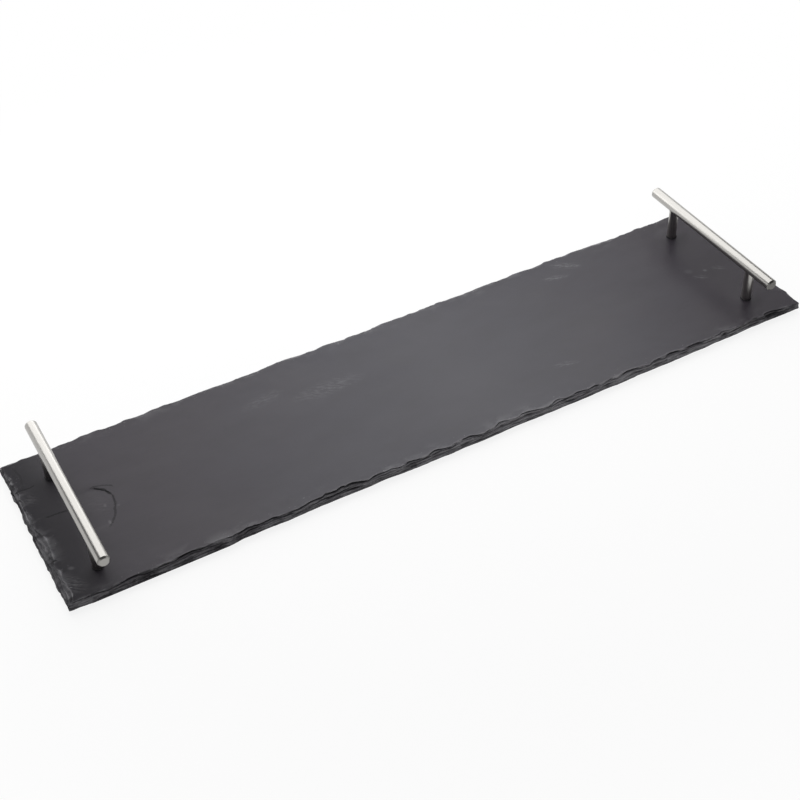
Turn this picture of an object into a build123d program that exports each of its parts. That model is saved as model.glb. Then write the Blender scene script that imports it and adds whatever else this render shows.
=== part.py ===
"""Slate serving board: a split slate slab with a hand-dressed edge, two round bar handles and four feet.

Millimetres, +Z up. The origin is on the table, under the middle of the slate. +X runs along the
board to the right-hand handle and -Y is the front edge.
"""
from build123d import *
import os
import random
from typing import NamedTuple

# Slate slab
board_length = 600.0
board_width = 150.0
lower_layer = 3.2            # the slate parts into two layers along its broken edge
upper_layer = 2.8
outline_wander = 0.8         # how far the broken outline strays inside the cut size
break_seed = 7               # another seed breaks the edge another way

# Dressed edge: how far the flakes reach in from each side, and their run along it
front_dressing = 4.0
right_dressing = 3.5
back_dressing = 4.5
left_dressing = 6.5
lower_flake_run = 27.0
upper_flake_run = 19.0
lower_bevel = 0.35           # shares of the dressing: the lower layer's slope,
upper_step = 0.35            # the upper layer's setback above it
upper_bevel = 0.5            # and the upper layer's slope
least_bevel = 0.3            # a flake slopes by at least this share of its bevel
flake_spread = 0.55          # a flake's run varies by this share
flake_hollow = 0.045         # how hollow a flake is, as a share of its run
corner_setback = 1.2         # how far the corners are knocked back

# Thumbnail scars, where single spalls have left the top face
end_scar_run = 30.0
end_scar_reach = 12.0
end_scar_spacing = 42.0
side_scar_run = 18.0
side_scar_reach = 4.5
side_scar_spacing = 75.0
scar_depth = 1.6
scar_spread = 0.35           # a scar is smaller than these sizes by up to this share
scar_wander = 0.2            # and strays along the edge by this share of its spacing

# Handles
bar_diameter = 9.0
bar_length = 148.0
bar_chamfer = 1.1
bar_clear_height = 24.5      # finger room between the slate and the bar
post_diameter = 7.5
post_spacing = 96.0
left_bar_inset = 29.5        # from the slate's end to the bar's axis
right_bar_inset = 32.5
left_bar_shift = -4.0        # the left handle sits a little nearer the front edge
right_bar_shift = 0.0

# Gaskets under the posts
gasket_rim = 0.5             # shows all round the post
gasket_thickness = 0.8

# Handle screws, washers and studs
thread_diameter = 4.0
screw_length = 14.0
screw_head_diameter = 8.0
screw_head_height = 2.3
screw_head_chamfer = 0.8
drive_slot_length = 4.4
drive_slot_width = 1.0
drive_slot_depth = 1.3
washer_diameter = 9.0
washer_thickness = 0.8
stud_in_bar = 5.0
stud_in_post = 6.0
stud_socket = 2.0            # across the flats of the hexagon
stud_socket_depth = 1.8
recess_depth = 2.2           # sunk into the underside for the washer and the head

# Feet
foot_diameter = 14.0
foot_height = 3.0
foot_end_inset = 60.0
foot_side_inset = 17.0

# Clearances
thread_clearance = 0.05      # radial, between a screw or stud and its tapped hole
screw_hole_clearance = 0.4   # radial, between a screw and the hole drilled in the slate
washer_clearance = 0.2       # radial, inside a washer or gasket, round the screw
recess_clearance = 0.5       # radial, round the washer
saddle_clearance = 0.05      # between the bar and the coped top of a post
tap_runout = 1.0             # a tapped hole goes this much deeper than what is screwed into it

# Heights of the stack
slate_bottom = foot_height
slate_parting = slate_bottom + lower_layer
slate_top = slate_parting + upper_layer
post_bottom = slate_top + gasket_thickness
bar_axis = slate_top + bar_clear_height + bar_diameter / 2
recess_roof = slate_bottom + recess_depth
head_top = recess_roof - washer_thickness

screw_tip = head_top + screw_length
bar_underside = bar_axis - bar_diameter / 2

half_length = board_length / 2
half_width = board_width / 2
tapped_diameter = thread_diameter + 2 * thread_clearance
eased_diameter = thread_diameter + 2 * washer_clearance


class Outline(NamedTuple):
    """A broken outline: its height, its share of a side's dressing and how hollow its flakes are."""

    z: float
    share: float
    hollow: float


class Scars(NamedTuple):
    """The thumbnail scars of one side: their length along it, their reach and their spacing."""

    run: float
    reach: float
    spacing: float


class Side(NamedTuple):
    """A side of the slate: it runs from a corner along a direction, with the slate on its left."""

    corner: Vector
    direction: Vector
    run: float
    dressing: float
    scars: Scars

    def point(self, along, inset, z):
        """A point so far along the side, so far in from it, at a height."""
        inward = Vector(-self.direction.Y, self.direction.X, 0)
        return self.corner + self.direction * along + inward * inset + Vector(0, 0, z)


BOTTOM_RIM = Outline(slate_bottom, 0, flake_hollow / 4)
PARTING_LEDGE = Outline(slate_parting, lower_bevel, 0)
PARTING_STEP = Outline(slate_parting, upper_step, 0)
TOP_LIP = Outline(slate_top, upper_bevel, flake_hollow)
END_SCARS = Scars(end_scar_run, end_scar_reach, end_scar_spacing)
SIDE_SCARS = Scars(side_scar_run, side_scar_reach, side_scar_spacing)
SIDES = [
    Side(Vector(-half_length, -half_width), Vector(1, 0), board_length, front_dressing, SIDE_SCARS),
    Side(Vector(half_length, -half_width), Vector(0, 1), board_width, right_dressing, SIDE_SCARS),
    Side(Vector(half_length, half_width), Vector(-1, 0), board_length, back_dressing, SIDE_SCARS),
    Side(Vector(-half_length, half_width), Vector(0, -1), board_width, left_dressing, END_SCARS),
]


def disc(diameter, bottom, height):
    """A round upright solid about the Z axis, from its bottom up."""
    return Pos(0, 0, bottom + height / 2) * Cylinder(diameter / 2, height)


def ring(outer, inner, bottom, height):
    """A flat ring about the Z axis."""
    return disc(outer, bottom, height) - disc(inner, bottom - height, 3 * height)


def flake_breaks(run, pitch, rng):
    """Where each flake of a side starts, from its corner on: uneven flakes that fill its run."""
    count = max(2, round(run / pitch))
    shares = [rng.uniform(1 - flake_spread, 1 + flake_spread) for _ in range(count)]
    return [run * sum(shares[:index]) / sum(shares) for index in range(count)]


def flaked_edges(points, hollow):
    """Edges through a ring of points: arcs hollowed towards the slate like flake scars, or chords."""
    edges = []
    for start, end in zip(points, points[1:] + points[:1]):
        if hollow == 0:
            edges.append(Edge.make_line(start, end))
            continue
        chord = end - start
        inward = Vector(-chord.Y, chord.X, 0)
        edges.append(Edge.make_three_point_arc(start, (start + end) / 2 + inward * hollow, end))
    return edges


def flaked_layer(low, high, pitch, rng):
    """One layer of the slate, closed all round by ruled flakes between its two broken outlines.

    The lower outline of a layer with no low share touches the cut size on every side.
    """
    low_points = []
    high_points = []
    for side in SIDES:
        breaks = flake_breaks(side.run, pitch, rng)
        strays = [rng.random() for _ in breaks]
        for index, along in enumerate(breaks):
            low_inset = outline_wander * (strays[index] - min(strays))
            low_inset += side.dressing * low.share * rng.random()
            high_inset = low_inset + side.dressing * high.share * rng.uniform(least_bevel, 1)
            knocked_back = corner_setback * rng.random() if index == 0 else 0
            low_along = along + knocked_back + (low_inset if index == 0 else 0)
            high_along = along + knocked_back + (high_inset if index == 0 else 0)
            low_points.append(side.point(low_along, low_inset, low.z))
            high_points.append(side.point(high_along, high_inset, high.z))
    low_edges = flaked_edges(low_points, low.hollow)
    high_edges = flaked_edges(high_points, high.hollow)
    faces = [Face.make_surface_from_curves(low, high) for low, high in zip(low_edges, high_edges)]
    faces.append(Face(Wire(low_edges)))
    faces.append(Face(Wire(high_edges)))
    return Solid(Shell(faces))


def thumbnail_scar(side, along, size):
    """A ball that takes a hollow scar out of the top edge, at a share of the side's scar size."""
    reach = side.scars.reach * size
    half_run = side.scars.run * size / 2
    rim = (reach ** 2 + half_run ** 2) / (2 * reach)
    ball = (rim ** 2 + scar_depth ** 2) / (2 * scar_depth)
    centre = side.point(along, reach - rim, slate_top + ball - scar_depth)
    return Pos(centre) * Rot(90, 0, 0) * Sphere(ball)


def edge_scars(rng):
    """The scars along all four sides, unevenly spaced."""
    scars = []
    for side in SIDES:
        count = max(1, round(side.run / side.scars.spacing))
        for index in range(count):
            along = side.run * (index + 0.5 + rng.uniform(-scar_wander, scar_wander)) / count
            scars.append(thumbnail_scar(side, along, rng.uniform(1 - scar_spread, 1)))
    return scars


def slate_board(posts):
    """The slab: two cleavage layers, the scars in their edge, and a screw hole under each post."""
    rng = random.Random(break_seed)
    slab = flaked_layer(BOTTOM_RIM, PARTING_LEDGE, lower_flake_run, rng)
    slab += flaked_layer(PARTING_STEP, TOP_LIP, upper_flake_run, rng)
    slab -= edge_scars(rng)
    hole = thread_diameter + 2 * screw_hole_clearance
    recess = washer_diameter + 2 * recess_clearance
    for place in posts:
        slab -= place * disc(hole, 0, 2 * slate_top)
        slab -= place * disc(recess, 0, recess_roof)
    return slab


def handle_bar(place):
    """A solid round bar with turned ends, tapped from below for a stud over each post."""
    bar = Rot(90, 0, 0) * Cylinder(bar_diameter / 2, bar_length)
    bar = chamfer(bar.edges().filter_by(GeomType.CIRCLE), bar_chamfer)
    depth = stud_in_bar + tap_runout
    for shift in (-post_spacing / 2, post_spacing / 2):
        bar -= Pos(0, shift, -bar_diameter / 2) * disc(tapped_diameter, -depth, 2 * depth)
    return place * Pos(0, 0, bar_axis) * bar


def post(place):
    """A round post: coped to the bar above, and tapped at both ends."""
    column = disc(post_diameter, post_bottom, bar_axis - post_bottom)
    saddle = Pos(0, 0, bar_axis) * Rot(90, 0, 0)
    column -= saddle * Cylinder(bar_diameter / 2 + saddle_clearance, 2 * post_diameter)
    screw_depth = screw_tip - post_bottom + tap_runout
    column -= disc(tapped_diameter, post_bottom - screw_depth, 2 * screw_depth)
    stud_depth = stud_in_post + tap_runout
    column -= disc(tapped_diameter, bar_underside - stud_depth, 2 * stud_depth)
    return place * column


def post_stud(place):
    """A headless stud with a hexagon socket, half in the bar and half in the post."""
    bottom = bar_underside - stud_in_post
    stud = disc(thread_diameter, bottom, stud_in_post + stud_in_bar)
    hexagon = RegularPolygon(stud_socket / 2, 6, major_radius=False)
    stud -= Pos(0, 0, bottom) * extrude(hexagon, stud_socket_depth)
    return place * stud


def handle_screw(place):
    """A pan-head machine screw from below, with a cross recess in its head."""
    head = disc(screw_head_diameter, head_top - screw_head_height, screw_head_height)
    head = chamfer(head.edges().filter_by(GeomType.CIRCLE).sort_by(Axis.Z)[0], screw_head_chamfer)
    for turn in (0, 90):
        slot = Box(drive_slot_length, drive_slot_width, 2 * drive_slot_depth)
        head -= Pos(0, 0, head_top - screw_head_height) * Rot(0, 0, turn) * slot
    shank = disc(thread_diameter, head_top, screw_length)
    return place * (head + shank)


def screw_washer(place):
    """A flat washer against the roof of the screw's recess."""
    return place * ring(washer_diameter, eased_diameter, head_top, washer_thickness)


def post_gasket(place):
    """A thin soft ring between a post and the slate."""
    outer = post_diameter + 2 * gasket_rim
    return place * ring(outer, eased_diameter, slate_top, gasket_thickness)


def foot(place):
    """A round soft pad."""
    return place * disc(foot_diameter, 0, foot_height)


def assembly():
    """Every piece by its node's name."""
    handles = {
        "left": Pos(left_bar_inset - half_length, left_bar_shift, 0),
        "right": Pos(half_length - right_bar_inset, right_bar_shift, 0),
    }
    rows = {"front": -1, "back": 1}
    pieces = {}
    posts = []
    for end, handle in handles.items():
        pieces[f"{end}_handle_bar"] = handle_bar(handle)
        for row, sign in rows.items():
            place = handle * Pos(0, sign * post_spacing / 2, 0)
            posts.append(place)
            pieces[f"{end}_{row}_post"] = post(place)
            pieces[f"{end}_{row}_post_stud"] = post_stud(place)
            pieces[f"{end}_{row}_post_gasket"] = post_gasket(place)
            pieces[f"{end}_{row}_screw_washer"] = screw_washer(place)
            pieces[f"{end}_{row}_handle_screw"] = handle_screw(place)
    for end, side in (("left", -1), ("right", 1)):
        for row, sign in rows.items():
            x = side * (half_length - foot_end_inset)
            y = sign * (half_width - foot_side_inset)
            pieces[f"{end}_{row}_foot"] = foot(Pos(x, y, 0))
    pieces["slate_board"] = slate_board(posts)
    return pieces


os.makedirs("parts", exist_ok=True)
for name, piece in assembly().items():
    export_step(piece, f"parts/{name}.step")
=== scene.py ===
"""Looks of the slate serving board: a split slab with a dressed edge, two steel bar handles and feet.

Metres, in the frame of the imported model: +Z up, the table at zero, +X along the board.
"""
import logging
import math
from dataclasses import dataclass, field
from enum import Enum
from typing import Any, Optional, Sequence, Union

import bmesh
import bpy
import numpy as np
from mathutils import Matrix, Vector
from mathutils.bvhtree import BVHTree
from mathutils.geometry import delaunay_2d_cdt


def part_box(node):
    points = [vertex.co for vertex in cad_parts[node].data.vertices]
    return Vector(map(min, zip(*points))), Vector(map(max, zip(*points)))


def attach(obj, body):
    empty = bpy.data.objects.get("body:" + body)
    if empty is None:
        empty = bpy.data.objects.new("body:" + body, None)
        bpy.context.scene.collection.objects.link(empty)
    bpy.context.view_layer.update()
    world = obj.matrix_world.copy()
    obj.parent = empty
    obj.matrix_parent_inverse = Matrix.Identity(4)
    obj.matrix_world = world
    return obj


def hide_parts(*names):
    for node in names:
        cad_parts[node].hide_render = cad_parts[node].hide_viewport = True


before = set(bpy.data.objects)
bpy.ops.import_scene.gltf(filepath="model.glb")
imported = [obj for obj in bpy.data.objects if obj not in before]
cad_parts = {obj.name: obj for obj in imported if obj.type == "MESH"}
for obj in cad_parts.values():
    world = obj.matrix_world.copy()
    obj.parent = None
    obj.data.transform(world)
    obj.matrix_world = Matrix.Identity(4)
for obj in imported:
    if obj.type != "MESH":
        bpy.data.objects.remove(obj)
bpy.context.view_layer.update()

MM = 0.001
BODY = "root"
LOG = logging.getLogger("slate_serving_board")

Colour = tuple[float, float, float, float]
Amount = Union[float, "Field"]
Reach = Union[float, np.ndarray]
Cells = Union[float, tuple[float, float, float]]


class End(Enum):
    """The board's two ends."""

    LEFT = "left"
    RIGHT = "right"


class Row(Enum):
    """The two rows of posts and feet, nearer the front edge or the back one."""

    FRONT = "front"
    BACK = "back"


class Lay(Enum):
    """Which way a metal's finishing lines run: how fast they change along X, Y and Z, per metre."""

    ALONG_BAR = (2600.0, 22.0, 2600.0)
    ROUND_POST = (60.0, 60.0, 3800.0)
    PLATED = (700.0, 700.0, 700.0)


class Field:
    """A shader socket in an expression: arithmetic on it adds Math nodes to its sheet."""

    def __init__(self, sheet: "Sheet", socket: bpy.types.NodeSocket) -> None:
        """Wrap a socket of a sheet."""
        self.sheet = sheet
        self.socket = socket

    def _math(self, operation: str, first: Amount, second: Amount = 0.0) -> "Field":
        """Add a Math node with this operation and these values."""
        return self.sheet.field("ShaderNodeMath", {"operation": operation}, {0: first, 1: second})

    def __add__(self, other: Amount) -> "Field":
        """Sum."""
        return self._math("ADD", self, other)

    __radd__ = __add__

    def __sub__(self, other: Amount) -> "Field":
        """Difference."""
        return self._math("SUBTRACT", self, other)

    def __rsub__(self, other: Amount) -> "Field":
        """Difference from a number on the left."""
        return self._math("SUBTRACT", other, self)

    def __mul__(self, other: Amount) -> "Field":
        """Product."""
        return self._math("MULTIPLY", self, other)

    __rmul__ = __mul__

    def highest(self, other: Amount) -> "Field":
        """The larger of the two."""
        return self._math("MAXIMUM", self, other)

    def size(self) -> "Field":
        """How far it is from zero."""
        return self._math("ABSOLUTE", self)

    def step(self, low: float, high: float) -> "Field":
        """Rise smoothly from 0 to 1 between two values.

        Args:
            low: Where it starts to rise.
            high: Where it reaches 1; below low, it falls instead.

        Returns:
            The smoothed value.
        """
        if low > high:
            return 1.0 - self.step(high, low)
        settings = {"interpolation_type": "SMOOTHSTEP"}
        return self.sheet.field("ShaderNodeMapRange", settings, {0: self, 1: low, 2: high})


class Sheet:
    """The nodes of one material or of the world."""

    def __init__(self, tree: bpy.types.NodeTree) -> None:
        """Start with no nodes."""
        self.tree = tree
        tree.nodes.clear()

    def node(
        self, kind: str, settings: Optional[dict[str, Any]] = None, values: Optional[dict] = None
    ) -> bpy.types.Node:
        """Add a node.

        Args:
            kind: The node's type.
            settings: Its properties, set before its sockets.
            values: Numbers, colours or fields for its sockets, by name or place.

        Returns:
            The node.
        """
        made = self.tree.nodes.new(kind)
        for name, value in (settings or {}).items():
            setattr(made, name, value)
        for key, value in (values or {}).items():
            socket = made.inputs[key]
            if isinstance(value, Field):
                self.tree.links.new(value.socket, socket)
            elif isinstance(value, bpy.types.NodeSocket):
                self.tree.links.new(value, socket)
            else:
                socket.default_value = value
        return made

    def field(
        self,
        kind: str,
        settings: Optional[dict[str, Any]] = None,
        values: Optional[dict] = None,
        output: Union[int, str] = 0,
    ) -> Field:
        """Add a node and wrap one of its outputs, by name or place."""
        return Field(self, self.node(kind, settings, values).outputs[output])

    def place(self) -> Field:
        """The point on the surface, in metres of the shared frame."""
        return self.field("ShaderNodeTexCoord", output="Object")

    def part(self, vector: Field, axis: str) -> Field:
        """A vector's X, Y or Z."""
        return self.field("ShaderNodeSeparateXYZ", None, {0: vector}, axis)

    def laid(self, vector: Field, middle: Sequence[float], turn: float, half: Sequence[float]) -> Field:
        """A vector in a patch's own axes, where the patch reaches from -1 to 1.

        Args:
            vector: The point on the surface.
            middle: The patch's middle in plan.
            turn: How far the patch is turned, in degrees.
            half: Its half sizes in plan.

        Returns:
            The point in the patch.
        """
        values = {
            "Vector": vector,
            "Location": (middle[0], middle[1], 0.0),
            "Rotation": (0.0, 0.0, math.radians(turn)),
            "Scale": (half[0], half[1], 1.0),
        }
        return self.field("ShaderNodeMapping", {"vector_type": "TEXTURE"}, values)

    def stretched(self, vector: Field, scale: Sequence[float]) -> Field:
        """A vector multiplied axis by axis."""
        return self.field("ShaderNodeVectorMath", {"operation": "MULTIPLY"}, {0: vector, 1: tuple(scale)})

    def length(self, vector: Field) -> Field:
        """A vector's length."""
        return self.field("ShaderNodeVectorMath", {"operation": "LENGTH"}, {0: vector}, "Value")

    def noise(self, vector: Field, scale: Cells, detail: float, rough: float) -> Field:
        """Soft noise around one half.

        Args:
            vector: Where it is read.
            scale: Its cells per unit of the vector, as one number or one for each axis.
            detail: How many finer layers it has.
            rough: How strong the finer layers are.

        Returns:
            Values from 0 to 1.
        """
        if isinstance(scale, tuple):
            vector, scale = self.stretched(vector, scale), 1.0
        values = {"Vector": vector, "Scale": scale, "Detail": detail, "Roughness": rough}
        return self.field("ShaderNodeTexNoise", None, values)

    def mix(self, factor: Amount, first: Union[Field, Colour], second: Union[Field, Colour]) -> Field:
        """Mix two colours, where the factor is the second one's share."""
        settings = {"data_type": "RGBA", "clamp_factor": True}
        return self.field("ShaderNodeMix", settings, {0: factor, 6: first, 7: second}, 2)

    def attribute(self, name: str) -> Field:
        """A value kept on the mesh's points."""
        settings = {"attribute_type": "GEOMETRY", "attribute_name": name}
        return self.field("ShaderNodeAttribute", settings, None, "Fac")

    def surface(self, shader: bpy.types.Node) -> None:
        """Send a shader to the material's surface."""
        self.node("ShaderNodeOutputMaterial", None, {"Surface": shader.outputs[0]})

    def principled(self, values: dict[str, Any]) -> None:
        """Send a Principled shader with these values to the material's surface."""
        self.surface(self.node("ShaderNodeBsdfPrincipled", None, values))

    def relief(self, height: Field) -> Field:
        """Normals bent by a height in metres."""
        return self.field("ShaderNodeBump", None, {"Height": height, "Distance": 1.0, "Strength": 1.0})


def new_material(name: str) -> tuple[bpy.types.Material, Sheet]:
    """Make an empty node material.

    Args:
        name: The material's name.

    Returns:
        The material and its sheet of nodes.
    """
    material = bpy.data.materials.new(name)
    material.use_nodes = True
    return material, Sheet(material.node_tree)


@dataclass(frozen=True)
class Scuff:
    """A pale rubbed patch on the slate's top, in millimetres and degrees.

    Its middle, half sizes, turn and strength come first. Patches longer than a streak break up into
    streaks that lie at a turn of their own.
    """

    x: float
    y: float
    half_long: float
    half_wide: float
    turn: float
    strength: float
    lay: float = -16.0
    streak: tuple[float, float] = (7.0, 1.7)
    streaked: tuple[float, float] = (0.40, 0.72)
    core: float = 0.15

    def mask(self, sheet: Sheet, place: Field) -> Field:
        """Where the patch shows.

        Args:
            sheet: The sheet that gets the nodes.
            place: The point on the surface.

        Returns:
            The patch's strength there.
        """
        middle = (self.x * MM, self.y * MM)
        inside = sheet.laid(place, middle, self.turn, (self.half_long * MM, self.half_wide * MM))
        patch = sheet.length(inside).step(1.0, self.core) * self.strength
        if self.half_long < self.streak[0]:
            return patch
        rubbed = sheet.laid(place, middle, self.lay, (self.streak[0] * MM, self.streak[1] * MM))
        streaks = sheet.noise(rubbed, (1.0, 1.0, 0.0), 4.0, 0.7)
        return patch * streaks.step(*self.streaked)


@dataclass(frozen=True)
class Crack:
    """A fine dark line in the slate's top, in millimetres: its ends, its bow and width, and its strength."""

    start: tuple[float, float]
    end: tuple[float, float]
    bow: float
    width: float
    strength: float
    wave: float = 3.0
    rag: float = 1.8
    core: float = 0.3
    taper: float = 0.75

    def mask(self, sheet: Sheet, place: Field) -> Field:
        """Where the line shows.

        Args:
            sheet: The sheet that gets the nodes.
            place: The point on the surface.

        Returns:
            The line's strength there.
        """
        (x, y), (u, v) = self.start, self.end
        half = math.hypot(u - x, v - y) / 2
        turn = math.degrees(math.atan2(v - y, u - x))
        middle = ((x + u) / 2 * MM, (y + v) / 2 * MM)
        inside = sheet.laid(place, middle, turn, (half * MM, half * MM))
        along, across = sheet.part(inside, "X"), sheet.part(inside, "Y")
        wavy = sheet.noise(place, 150.0, 2.0, 0.5)
        ragged = sheet.noise(place, 480.0, 3.0, 0.6)
        strayed = (wavy - 0.5) * (self.wave / half) + (ragged - 0.5) * (self.rag / half)
        off = across - (1.0 - along * along) * (self.bow / half) + strayed
        line = off.size().step(self.width / half, self.core * self.width / half)
        return line * along.size().step(1.0, self.taper) * ragged.step(0.30, 0.44) * self.strength


@dataclass(frozen=True)
class SlateFinish:
    """Dark slate, oiled to a soft sheen in the middle, and paler and flaky where it is broken."""

    split: Colour = (0.0245, 0.0226, 0.0330, 1.0)
    warm: Colour = (0.0280, 0.0232, 0.0305, 1.0)
    deep: Colour = (0.0170, 0.0155, 0.0190, 1.0)
    fresh: Colour = (0.215, 0.211, 0.222, 1.0)
    dull: Colour = (0.060, 0.058, 0.063, 1.0)
    chalk: Colour = (0.260, 0.255, 0.268, 1.0)
    # Near-black for dark joints and cracks, and for painted shade in the edge's gaps, undercuts and along
    # its foot.
    seam_and_shade: Colour = (0.008, 0.008, 0.009, 1.0)
    # Pale colour of the scuffs, and of the lip's wear and chips, which also serve as a painted highlight
    # along the lip.
    dust_and_highlight: Colour = (0.26, 0.26, 0.27, 1.0)
    roughness: float = 0.60
    broken_roughness: float = 0.20
    oil_roughness: float = 0.40
    oil_middle: float = 0.025
    oil_reach: tuple[float, float] = (0.46, -0.06)
    oil_least: float = 0.14
    oil_most: float = 0.76
    oil_patchiness: float = 0.24
    oil_to_front: float = 1.6
    chalky: float = 0.6
    left_shade: float = 0.35
    sheet_shade: float = 0.4
    facet_shade: float = 0.6
    lip_wear_and_highlight: float = 0.24
    lip_chips: float = 0.7
    broken_dryness: float = 0.85
    crack_dryness: float = 0.8
    riven_height: float = 0.07 * MM
    grain_height: float = 0.02 * MM
    sheet_height: float = 0.22 * MM
    flake_height: float = 0.25 * MM
    crack_depth: float = 0.15 * MM
    top_from: tuple[float, float] = (5.5 * MM, 8.0 * MM)
    scuffs: tuple[Scuff, ...] = (
        Scuff(104, -41, 14, 4.5, -12, 0.24), Scuff(254.3, -8.1, 8.5, 4.2, -31, 0.26, -31),
        Scuff(274.1, -5.7, 8, 4.2, -31, 0.24, -31), Scuff(262.7, -2.9, 2.4, 2, -31, 0.2),
        Scuff(250.4, 2.3, 5, 4, -31, 0.07), Scuff(-108, 40, 23, 8, 10, 0.16, -2),
        Scuff(-61, 27.5, 36, 10.5, 0, 0.25, -27), Scuff(171, 60.5, 17, 6, -28, 0.4, -28),
        Scuff(155, 51, 14, 4.5, -13, 0.36, -13), Scuff(-289.5, -58.5, 13, 9, -60, 0.3, -29),
        Scuff(-291, 31, 7.5, 10, 30, 0.18, -29), Scuff(-290.5, -16, 5, 7.5, 0, 0.1),
        Scuff(-286.5, -44.5, 3.2, 2.2, -29, 0.16), Scuff(-250, 2, 10, 17, 8, 0.06),
        Scuff(-247.1, -1.8, 1.6, 2.2, 0, 0.12), Scuff(-249.6, -18.2, 1.6, 3, 0, 0.17),
        Scuff(-239, -6.4, 1.6, 1.8, 0, 0.08),
    )
    cracks: tuple[Crack, ...] = (
        Crack((-250, 18.7), (-239.3, 5.8), 1.7, 1.3, 0.9),
        Crack((-238.6, 7), (-252.9, -24.2), 3.2, 1.3, 0.6),
        Crack((-251.6, 18.7), (-235.3, 12.3), 2.3, 0.9, 0.6),
        Crack((-291, 66), (-292.5, 40), 2, 1.2, 0.4),
        Crack((-299, 42), (-282, 41.7), -1, 0.95, 0.75),
        Crack((-287.4, 7.4), (-268, 5.7), 0.4, 1, 0.85),
        Crack((-299.4, -31.9), (-291.8, -33.8), 0.3, 1, 0.85),
    )

    def material(self) -> bpy.types.Material:
        """Build the finish.

        Returns:
            The material.
        """
        material, sheet = new_material("split_slate")
        place = sheet.place()
        broken = sheet.attribute("broken")
        laminae = sheet.noise(place, (45.0, 45.0, 900.0), 4.0, 0.6)
        flaked = sheet.noise(place, 120.0, 4.0, 0.65)
        colour = sheet.mix(
            broken, self._split_colour(sheet, place), self._broken_colour(sheet, place, laminae, flaked)
        )
        # Painted shade under the edge's overhangs and along its foot, and dark joint lines, as marked on the
        # mesh.
        colour = sheet.mix(sheet.attribute("joints_and_shade"), colour, self.seam_and_shade)
        colour = self._pale_lip_and_highlight(sheet, place, colour)
        upper = sheet.part(place, "Z").step(*self.top_from)
        for scuff in self.scuffs:
            colour = sheet.mix(scuff.mask(sheet, place) * upper, colour, self.dust_and_highlight)
        cracked = upper * 0.0
        for crack in self.cracks:
            cracked = cracked.highest(crack.mask(sheet, place) * upper)
        grain = sheet.noise(place, 950.0, 3.0, 0.6)
        riven = sheet.noise(place, (150.0, 210.0, 150.0), 4.0, 0.5)
        height = riven * self.riven_height + grain * self.grain_height
        height = height + broken * (laminae * self.sheet_height + flaked * self.flake_height)
        oil = self._oiled(sheet, place) * (1.0 - broken * self.broken_dryness)
        sheet.principled({
            "Base Color": sheet.mix(cracked, colour, self.seam_and_shade),
            "Roughness": self.roughness + (grain - 0.5) * 0.16 + broken * self.broken_roughness,
            "Normal": sheet.relief(height - cracked * self.crack_depth),
            "Specular IOR Level": 0.12,
            "Coat Weight": oil * (1.0 - cracked * self.crack_dryness),
            "Coat Roughness": self.oil_roughness,
            "Coat IOR": 1.5,
        })
        return material

    def _broken_colour(self, sheet: Sheet, place: Field, laminae: Field, flaked: Field) -> Field:
        """The colour of the broken edge: pale flakes, chalky right of the middle, dark between sheets.

        Args:
            sheet: The sheet that gets the nodes.
            place: The point on the surface.
            laminae: Noise in thin level layers.
            flaked: Noise in the size of flakes.

        Returns:
            The colour.
        """
        along = sheet.part(place, "X")
        facets = sheet.noise(place, (70.0, 110.0, 260.0), 3.0, 0.6)
        colour = sheet.mix(flaked.step(0.34, 0.62), self.dull, self.fresh)
        chalked = along.step(-0.20, 0.06) * along.step(0.30, 0.20)
        colour = sheet.mix(chalked * self.chalky, colour, self.chalk)
        shaded = along.step(-0.09, -0.24) * along.step(-0.290, -0.265)
        colour = sheet.mix(shaded * self.left_shade, colour, self.seam_and_shade)
        colour = sheet.mix(laminae.step(0.44, 0.34) * self.sheet_shade, colour, self.seam_and_shade)
        return sheet.mix(facets.step(0.46, 0.36) * self.facet_shade, colour, self.seam_and_shade)

    def _pale_lip_and_highlight(self, sheet: Sheet, place: Field, colour: Field) -> Field:
        """Make the lip of the edge pale in places and chip it: wear, pale chips and a painted highlight
        along the lip.

        Args:
            sheet: The sheet that gets the nodes.
            place: The point on the surface.
            colour: The colour under the wear.

        Returns:
            The worn colour.
        """
        lip = sheet.attribute("lip")
        worn = sheet.noise(place, (45.0, 85.0, 60.0), 4.0, 0.6)
        chips = sheet.noise(place, 620.0, 2.0, 0.5)
        # Pale rubs and chips along the lip, partly a painted highlight on it.
        colour = sheet.mix(worn.step(0.50, 0.66) * lip * self.lip_wear_and_highlight, colour, self.dust_and_highlight)
        return sheet.mix(chips.step(0.68, 0.76) * lip * self.lip_chips, colour, self.dust_and_highlight)

    def _oiled(self, sheet: Sheet, place: Field) -> Field:
        """How much oil the surface holds: most in the middle, where it is wiped, and little at the ends.

        Args:
            sheet: The sheet that gets the nodes.
            place: The point on the surface.

        Returns:
            The share of it.
        """
        away = (sheet.part(place, "X") - self.oil_middle).size()
        patchy = sheet.noise(place, (9.0, 22.0, 0.0), 3.0, 0.5)
        held = self.oil_least + away.step(*self.oil_reach) * (self.oil_most - self.oil_least)
        evened = 1.0 + (patchy - 0.5) * self.oil_patchiness - sheet.part(place, "Y") * self.oil_to_front
        return held * evened * sheet.part(place, "X").step(-0.300, -0.262)

    def _split_colour(self, sheet: Sheet, place: Field) -> Field:
        """The colour of the split faces: slow clouds, bluer in the middle and warmer towards the ends,
        streaky mottle, fine grain and a darker left end. The blue middle is a painted tint of the sheen.

        Args:
            sheet: The sheet that gets the nodes.
            place: The point on the surface.

        Returns:
            The colour.
        """
        away = (sheet.part(place, "X") - self.oil_middle).size()
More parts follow.
